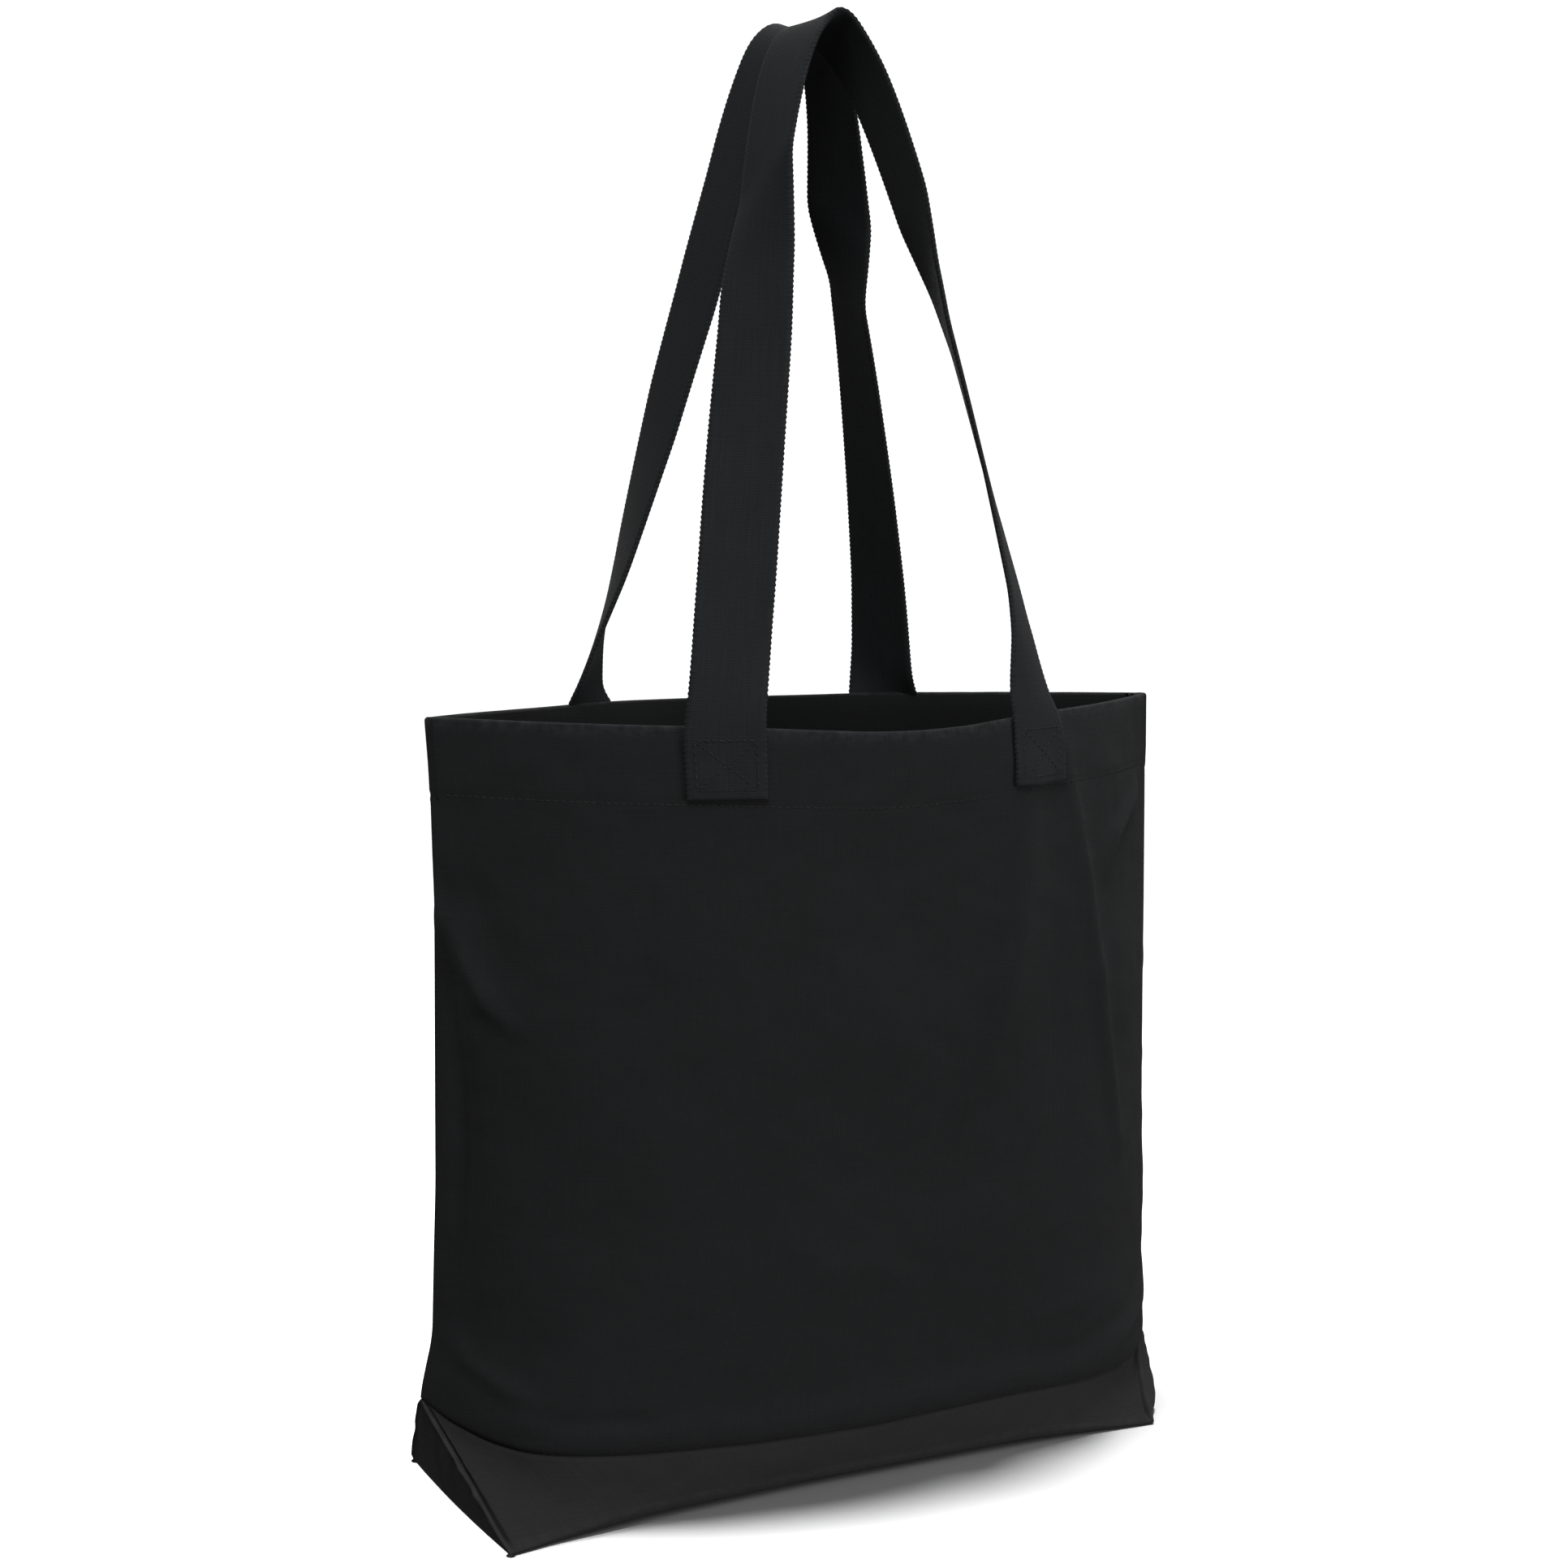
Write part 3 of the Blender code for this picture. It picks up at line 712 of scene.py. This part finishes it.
def stitches(name, lines, material, uses):
    """One mesh of separate stitches along the lines, each a short thread with its ends in the cloth."""
    rings, sides = 7, 6
    points, faces, cloth = [], [], []
    start = 0
    for line, normals in lines:
        middle, direction, normal = evenly(line, normals, STITCH)
        binormal = np.cross(direction, normal)
        for i in range(len(middle)):
            slant = direction[i] + 0.10 * binormal[i]
            for r in range(rings):
                share = r / (rings - 1) * 2 - 1
                lift = THREAD * (0.22 - 0.80 * share ** 4)
                thick = THREAD / 2 * (1 - 0.55 * abs(share) ** 3)
                centre = middle[i] + slant * share * STITCH_LENGTH / 2 + normal[i] * lift
                for k in range(sides):
                    a = 2 * math.pi * k / sides
                    points.append(centre + (binormal[i] * math.cos(a) + normal[i] * math.sin(a)) * thick)
                    cloth.append((k / sides, share * STITCH_LENGTH, i * 0.1))
            for r in range(rings - 1):
                for k in range(sides):
                    k2 = (k + 1) % sides
                    a, b = start + r * sides, start + (r + 1) * sides
                    faces.append([a + k, a + k2, b + k2, b + k])
            faces.append([start + k for k in range(sides)][::-1])
            faces.append([start + (rings - 1) * sides + k for k in range(sides)])
            start += rings * sides
    return piece(name, points, faces, material, cloth, np.zeros(len(points)), uses)


def skin_line(x, z, side, distance):
    """Points this far out of the canvas, and the way out."""
    points, normal = skin(share_at(x), z, side)
    return points + normal * distance, normal


def hem_line(side, inside=False):
    """The row of stitches under the hem, on the outer face or on the turned-in edge."""
    s = np.linspace(-0.975, 0.975, 500)
    z = rim_height(s, side) - HEM_STITCH_DROP
    points, normal = skin_line(s * HALF_CHORD, z, side, -3.2 * CANVAS if inside else 0.0)
    return points, -normal if inside else normal


def box_lines(x, side):
    """A box of stitches with a cross in it."""
    inset = 0.0042
    half = WEBBING / 2 - inset
    low = TAB_BOTTOM + 0.0040
    high = RIM - 0.0095
    corners = [(-half, low), (half, low), (half, high), (-half, high), (-half, low), (half, high)]
    second = [(-half, high), (half, low)]
    lines = []
    for route in (corners, second):
        for (ax, az), (bx, bz) in zip(route, route[1:]):
            t = np.linspace(0.02, 0.98, 24)
            lines.append(skin_line(x + lerp(ax, bx, t), lerp(az, bz, t), side, WEBBING_THICK + WEBBING_LIFT))
    return lines


def bottom_seam_line(side):
    """The bottom seam's stitches, inside the bag on the turned-in edges."""
    s = np.linspace(-0.97, 0.97, 400)
    points, normal = skin_line(s * HALF_CHORD, seam_height(s, side), side, -SEAM_TURN * 0.8)
    points[:, 2] += CANVAS + 0.0002
    return points, np.broadcast_to((0, 0, 1.0), points.shape)


def side_seam_line(end, side):
    """A side seam's stitches, on the seam allowance inside the bag."""
    z = np.linspace(0.055, RIM - HEM_DEPTH, 200)
    points = skin(float(end), z, side)[0]
    points[:, 0] -= end * FLANGE_STEP * 4
    points[:, 1] = side * (SEAM_HALF_GAP + CANVAS)
    return points, np.broadcast_to((0, float(side), 0), points.shape)


def corner_seam_line(end):
    """The stitches across a boxed corner, on the base's inner face."""
    y = np.linspace(-BASE_HALF_DEPTH + 0.004, BASE_HALF_DEPTH - 0.004, 100)
    x = BASE_BACK[0 if end < 0 else -1][0] - end * 0.004
    points = np.stack([np.full(100, x), y, np.full(100, CANVAS + 0.0001)], -1)
    return points, np.broadcast_to((0, 0, 1.0), points.shape)


# Materials

class Nodes:
    """Short names for adding and joining a material's nodes."""

    def __init__(self, name):
        self.material = bpy.data.materials.new(name)
        self.material.use_nodes = True
        self.tree = self.material.node_tree
        self.shader = self.tree.nodes["Principled BSDF"]

    def add(self, kind, **inputs):
        node = self.tree.nodes.new(kind)
        for key, value in inputs.items():
            self.put(value, node.inputs[key.replace("_", " ")])
        return node

    def put(self, value, socket):
        if hasattr(value, "is_output"):
            self.tree.links.new(value, socket)
        else:
            socket.default_value = value

    def math(self, operation, a, b=0.0, clamp=False):
        node = self.tree.nodes.new("ShaderNodeMath")
        node.operation = operation
        node.use_clamp = clamp
        self.put(a, node.inputs[0])
        self.put(b, node.inputs[1])
        return node.outputs[0]

    def attribute(self, name):
        node = self.tree.nodes.new("ShaderNodeAttribute")
        node.attribute_name = name
        return node

    def noise(self, vector, scale, detail=3.0, roughness=0.55):
        node = self.add("ShaderNodeTexNoise", Scale=scale, Detail=detail, Roughness=roughness)
        self.tree.links.new(vector, node.inputs["Vector"])
        return node.outputs["Fac"]

    def stretched(self, vector, x, y, z):
        node = self.tree.nodes.new("ShaderNodeVectorMath")
        node.operation = "MULTIPLY"
        self.tree.links.new(vector, node.inputs[0])
        node.inputs[1].default_value = (x, y, z)
        return node.outputs[0]

    def mix(self, factor, a, b):
        node = self.tree.nodes.new("ShaderNodeMix")
        node.data_type = "RGBA"
        self.put(factor, node.inputs["Factor"])
        self.put(a, node.inputs[6])
        self.put(b, node.inputs[7])
        return node.outputs[2]

    def spread(self, value, low, high, to_low=0.0, to_high=1.0):
        node = self.tree.nodes.new("ShaderNodeMapRange")
        self.put(value, node.inputs["Value"])
        for key, number in (("From Min", low), ("From Max", high), ("To Min", to_low), ("To Max", to_high)):
            node.inputs[key].default_value = number
        return node.outputs["Result"]

    def weave(self, vector, across, along):
        """Height of a plain weave, 0 to 1, with yarns this far apart."""
        split = self.tree.nodes.new("ShaderNodeSeparateXYZ")
        self.tree.links.new(vector, split.inputs[0])
        a = self.math("SINE", self.math("MULTIPLY", split.outputs[0], math.pi / across))
        b = self.math("SINE", self.math("MULTIPLY", split.outputs[1], math.pi / along))
        over = self.math("MULTIPLY", self.math("MULTIPLY", a, b), 0.4)
        warp = self.math("MULTIPLY", self.math("ABSOLUTE", a), self.math("ADD", over, 0.6))
        weft = self.math("MULTIPLY", self.math("ABSOLUTE", b), self.math("SUBTRACT", 0.6, over))
        return self.math("MAXIMUM", warp, weft)

    def bump(self, height, distance, strength=1.0, below=None):
        node = self.add("ShaderNodeBump", Strength=strength, Distance=distance)
        self.tree.links.new(height, node.inputs["Height"])
        if below is not None:
            self.tree.links.new(below, node.inputs["Normal"])
        return node.outputs["Normal"]


def grey(value, warmth=0.0):
    """A grey, warmer where warmth is above 0 and cooler below."""
    return (value * (1 + warmth), value, value * (1 - warmth), 1.0)


def canvas_material(name, shade, warmth=-0.05):
    """Black cotton canvas: plain weave with uneven yarns, faded a little where it is rubbed."""
    n = Nodes(name)
    cloth = n.attribute("cloth").outputs["Vector"]
    wear = n.attribute("wear").outputs["Fac"]
    weave = n.weave(cloth, 0.00062, 0.00066)
    warp_slubs = n.noise(n.stretched(cloth, 1500, 40, 1), 1.0, 2.0)
    weft_slubs = n.noise(n.stretched(cloth, 36, 1400, 1), 1.0, 2.0)
    slubs = n.math("ADD", warp_slubs, weft_slubs)
    cloud = n.noise(cloth, 26.0, 4.0)
    lint = n.spread(n.noise(cloth, 900.0, 1.0), 0.70, 0.78)
    tone = n.spread(slubs, 0.7, 1.3, 0.0, 0.5)
    tone = n.math("ADD", tone, n.spread(cloud, 0.3, 0.7, 0.0, 0.35))
    tone = n.math("ADD", tone, n.math("MULTIPLY", weave, 0.25))
    colour = n.mix(n.spread(tone, 0.0, 1.1), grey(shade * 0.78, warmth), grey(shade * 1.22, warmth))
    rub = n.math("MULTIPLY", wear, n.spread(n.noise(cloth, 240.0, 3.0), 0.35, 0.65), clamp=True)
    colour = n.mix(n.math("MULTIPLY", rub, 0.55), colour, grey(shade * 2.6, warmth))
    colour = n.mix(n.math("MULTIPLY", lint, 0.35), colour, grey(shade * 2.4, warmth))
    n.put(colour, n.shader.inputs["Base Color"])
    n.put(n.spread(cloud, 0.3, 0.7, 0.82, 0.94), n.shader.inputs["Roughness"])
    n.shader.inputs["Sheen Weight"].default_value = 0.04
    n.shader.inputs["Sheen Roughness"].default_value = 0.6
    n.shader.inputs["Specular IOR Level"].default_value = 0.18
    fine = n.bump(weave, 0.00016, 0.9)
    n.put(n.bump(slubs, 0.00030, 0.5, fine), n.shader.inputs["Normal"])
    return n.material


def webbing_material(name, shade):
    """Black cotton webbing: heavy warp cords bound by a thick weft."""
    n = Nodes(name)
    cloth = n.attribute("cloth").outputs["Vector"]
    wear = n.attribute("wear").outputs["Fac"]
    weave = n.weave(cloth, 0.00095, PICK / 2)
    cords = n.noise(n.stretched(cloth, 900, 30, 1), 1.0, 2.0)
    cloud = n.noise(cloth, 40.0, 3.0)
    tone = n.math("ADD", n.spread(cords, 0.3, 0.7, 0.0, 0.5), n.math("MULTIPLY", weave, 0.25))
    tone = n.math("ADD", tone, n.spread(cloud, 0.3, 0.7, 0.0, 0.2))
    colour = n.mix(n.spread(tone, 0.0, 1.1), grey(shade * 0.72, -0.09), grey(shade * 1.25, -0.09))
    rub = n.math("MULTIPLY", wear, n.spread(n.noise(cloth, 300.0, 2.0), 0.4, 0.7), clamp=True)
    colour = n.mix(n.math("MULTIPLY", rub, 0.5), colour, grey(shade * 2.2, -0.05))
    n.put(colour, n.shader.inputs["Base Color"])
    n.put(n.spread(cloud, 0.3, 0.7, 0.72, 0.84), n.shader.inputs["Roughness"])
    n.shader.inputs["Sheen Weight"].default_value = 0.05
    n.shader.inputs["Sheen Roughness"].default_value = 0.5
    n.shader.inputs["Specular IOR Level"].default_value = 0.22
    fine = n.bump(weave, 0.00016, 0.8)
    n.put(n.bump(cords, 0.00020, 0.5, fine), n.shader.inputs["Normal"])
    return n.material


def thread_material(name):
    """Black sewing thread: plies that wind round it."""
    n = Nodes(name)
    cloth = n.attribute("cloth").outputs["Vector"]
    split = n.tree.nodes.new("ShaderNodeSeparateXYZ")
    n.tree.links.new(cloth, split.inputs[0])
    around = n.math("MULTIPLY", split.outputs[0], 2 * math.pi)
    twist = n.math("ADD", n.math("MULTIPLY", split.outputs[1], 9000.0), around)
    ply = n.math("ADD", n.math("MULTIPLY", n.math("SINE", twist), 0.5), 0.5)
    n.put(n.mix(ply, grey(0.008, -0.05), grey(0.018, -0.05)), n.shader.inputs["Base Color"])
    n.put(n.spread(ply, 0.0, 1.0, 0.55, 0.42), n.shader.inputs["Roughness"])
    n.put(n.bump(ply, 0.00008, 0.8), n.shader.inputs["Normal"])
    return n.material


def floor_material():
    n = Nodes("floor_white")
    place = n.tree.nodes.new("ShaderNodeTexCoord").outputs["Object"]
    speck = n.noise(place, 12.0, 3.0)
    n.put(n.mix(speck, (0.985, 0.985, 0.99, 1), (1.0, 1.0, 1.0, 1)), n.shader.inputs["Base Color"])
    n.shader.inputs["Roughness"].default_value = 0.8
    n.shader.inputs["Specular IOR Level"].default_value = 0.1
    return n.material


# Studio

SKY_ABOVE, SKY_BELOW = 0.21, 0.10
COOL = (0.97, 0.98, 1.0)
FAINTLY_COOL = (0.98, 0.98, 1.0)


def camera():
    """The camera that took the photograph, as solved from it."""
    data = bpy.data.cameras.new("camera")
    data.sensor_width = 36.0
    data.lens = 59.3
    obj = bpy.data.objects.new("camera", data)
    bpy.context.scene.collection.objects.link(obj)
    obj.location = (-0.5437, -1.0126, 0.4117)
    obj.rotation_euler = (math.radians(90 - 5.46), 0.0, math.radians(-27.65))
    bpy.context.scene.camera = obj


def lamp(name, place, target, size, watts, receivers, colour=(1, 1, 1)):
    """A round soft lamp aimed at the target, which lights the receivers only."""
    data = bpy.data.lights.new(name, "AREA")
    data.shape = "DISK"
    data.size = size
    data.energy = watts
    data.color = colour
    obj = bpy.data.objects.new(name, data)
    bpy.context.scene.collection.objects.link(obj)
    obj.location = place
    way = np.array(target) - np.array(place)
    obj.rotation_euler = (math.atan2(math.hypot(way[0], way[1]), -way[2]), 0.0, math.atan2(-way[0], way[1]))
    obj.light_linking.receiver_collection = receivers


def sky():
    """White to the eye, and as a light bright above and dim below."""
    world = bpy.data.worlds.new("studio")
    bpy.context.scene.world = world
    world.use_nodes = True
    tree = world.node_tree
    place = tree.nodes.new("ShaderNodeTexCoord")
    split = tree.nodes.new("ShaderNodeSeparateXYZ")
    ramp = tree.nodes.new("ShaderNodeMapRange")
    ray = tree.nodes.new("ShaderNodeLightPath")
    mix = tree.nodes.new("ShaderNodeMix")
    for key, number in (("From Min", -0.35), ("From Max", 0.9), ("To Min", SKY_BELOW), ("To Max", SKY_ABOVE)):
        ramp.inputs[key].default_value = number
    tree.links.new(place.outputs["Generated"], split.inputs[0])
    tree.links.new(split.outputs[2], ramp.inputs["Value"])
    tree.links.new(ray.outputs["Is Camera Ray"], mix.inputs["Factor"])
    tree.links.new(ramp.outputs["Result"], mix.inputs["A"])
    mix.inputs["B"].default_value = 1.1
    tree.links.new(mix.outputs["Result"], tree.nodes["Background"].inputs["Strength"])
    tree.nodes["Background"].inputs["Color"].default_value = (1, 1, 1, 1)


def studio():
    """A white floor under soft light. The lamps for the floor and for the bag are separate."""
    sky()
    bpy.context.scene.view_settings.view_transform = "Standard"
    mesh = bpy.data.meshes.new("floor")
    far = 6.0
    mesh.from_pydata([(-far, -far, 0), (far, -far, 0), (far, far, 0), (-far, far, 0)], [], [(0, 1, 2, 3)])
    mesh.materials.append(floor_material())
    floor = bpy.data.objects.new("floor", mesh)
    bpy.context.scene.collection.objects.link(floor)
    floor.location.z = -0.0002
    # The floor has a light of its own, and the dark object takes no light from it
    floor.visible_diffuse = False
    floor.visible_glossy = False
    only_floor = bpy.data.collections.new("only_floor")
    only_floor.objects.link(floor)
    all_but_floor = bpy.data.collections.new("all_but_floor")
    all_but_floor.objects.link(floor)
    all_but_floor.collection_objects[0].light_linking.link_state = "EXCLUDE"
    data = bpy.data.lights.new("floor_light", "SUN")
    data.energy = 2.95
    data.angle = math.radians(9)
    sun = bpy.data.objects.new("floor_light", data)
    bpy.context.scene.collection.objects.link(sun)
    sun.rotation_euler = (math.radians(-2.4), math.radians(2.5), 0.0)
    sun.light_linking.receiver_collection = only_floor
    lamp("floor_fill", (-1.3, 0.7, 0.6), (-0.2, 0, 0), 1.2, 60.0, only_floor)
    lamp("key", (-0.8, -1.2, 1.9), (0, 0, 0.25), 1.2, 19.5, all_but_floor, COOL)
    lamp("front", (0.85, -1.75, 0.26), (0.05, 0, 0.11), 0.9, 15.0, all_but_floor, FAINTLY_COOL)
    lamp("top", (0.3, 0.5, 2.3), (0, 0, 0.3), 2.0, 18.0, all_but_floor)
    lamp("back", (0.9, 1.9, 1.0), (0, 0, 0.2), 1.6, 9.0, all_but_floor)


def build():
    canvas = canvas_material("black_canvas", 0.0150)
    band = canvas_material("black_canvas_base", 0.0265, 0.0)
    webbing = webbing_material("black_webbing", 0.0152)
    thread = thread_material("black_thread")
    base = bottom_panel(band)
    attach(base, "bag")
    for side, name in ((-1, "front"), (1, "back")):
        panel = body_panel(side, canvas)
        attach(panel, "bag")
        strap = handle(side, webbing)
        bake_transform(strap)
        rows = [
            (name + "_hem_stitches", [hem_line(side), hem_line(side, True)], [name + "_hem_stitching"]),
            (name + "_left_box_stitches", box_lines(-LEG_X, side), [name + "_left_box_stitching"]),
            (name + "_right_box_stitches", box_lines(LEG_X, side), [name + "_right_box_stitching"]),
            (name + "_bottom_seam_stitches", [bottom_seam_line(side)], [name + "_bottom_seam_stitching"]),
        ]
        for row_name, lines, nodes in rows:
            row = stitches(row_name, lines, thread, nodes)
            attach(row, "bag")
    for end, name in ((-1, "left"), (1, "right")):
        both = [side_seam_line(end, -1), side_seam_line(end, 1)]
        seams = stitches(name + "_side_seam_stitches", both, thread, [name + "_side_seam_stitching"])
        corner = stitches(name + "_corner_seam_stitches", [corner_seam_line(end)], thread,
                          [name + "_corner_seam_stitching"])
        for row in (seams, corner):
            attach(row, "bag")


build()
studio()
camera()
